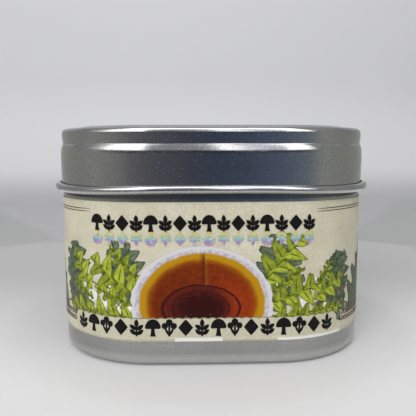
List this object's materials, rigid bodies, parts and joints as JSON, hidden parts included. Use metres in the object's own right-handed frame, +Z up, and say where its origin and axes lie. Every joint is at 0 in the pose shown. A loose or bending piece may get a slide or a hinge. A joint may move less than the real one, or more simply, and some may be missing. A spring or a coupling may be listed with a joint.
{
  "type": "rounded-square slip-lid tin",
  "caption": "Low rounded-square tinplate tin for dry goods, with a lift-off slip lid with a rolled bead and a printed paper label wrapped round its wall.",
  "frame": {"origin": "middle of the tin on the plane that its standing ring rests on", "axes": "+Z up through the lid, -Y towards the front of the label, +X to the right seen from the front"},
  "size_m": [0.0798, 0.0798, 0.0543],
  "materials": {
    "body_tinplate": "satin tinplate, drawn from one sheet",
    "lid_tinplate": "half-bright tinplate with fine drawing marks",
    "label_paper": "speckled cream paper, semi-matt print"
  },
  "bodies": {
    "root": {"tin_body": "body_tinplate", "slip_lid": "lid_tinplate", "paper_label": "label_paper"}
  },
  "joints": []
}
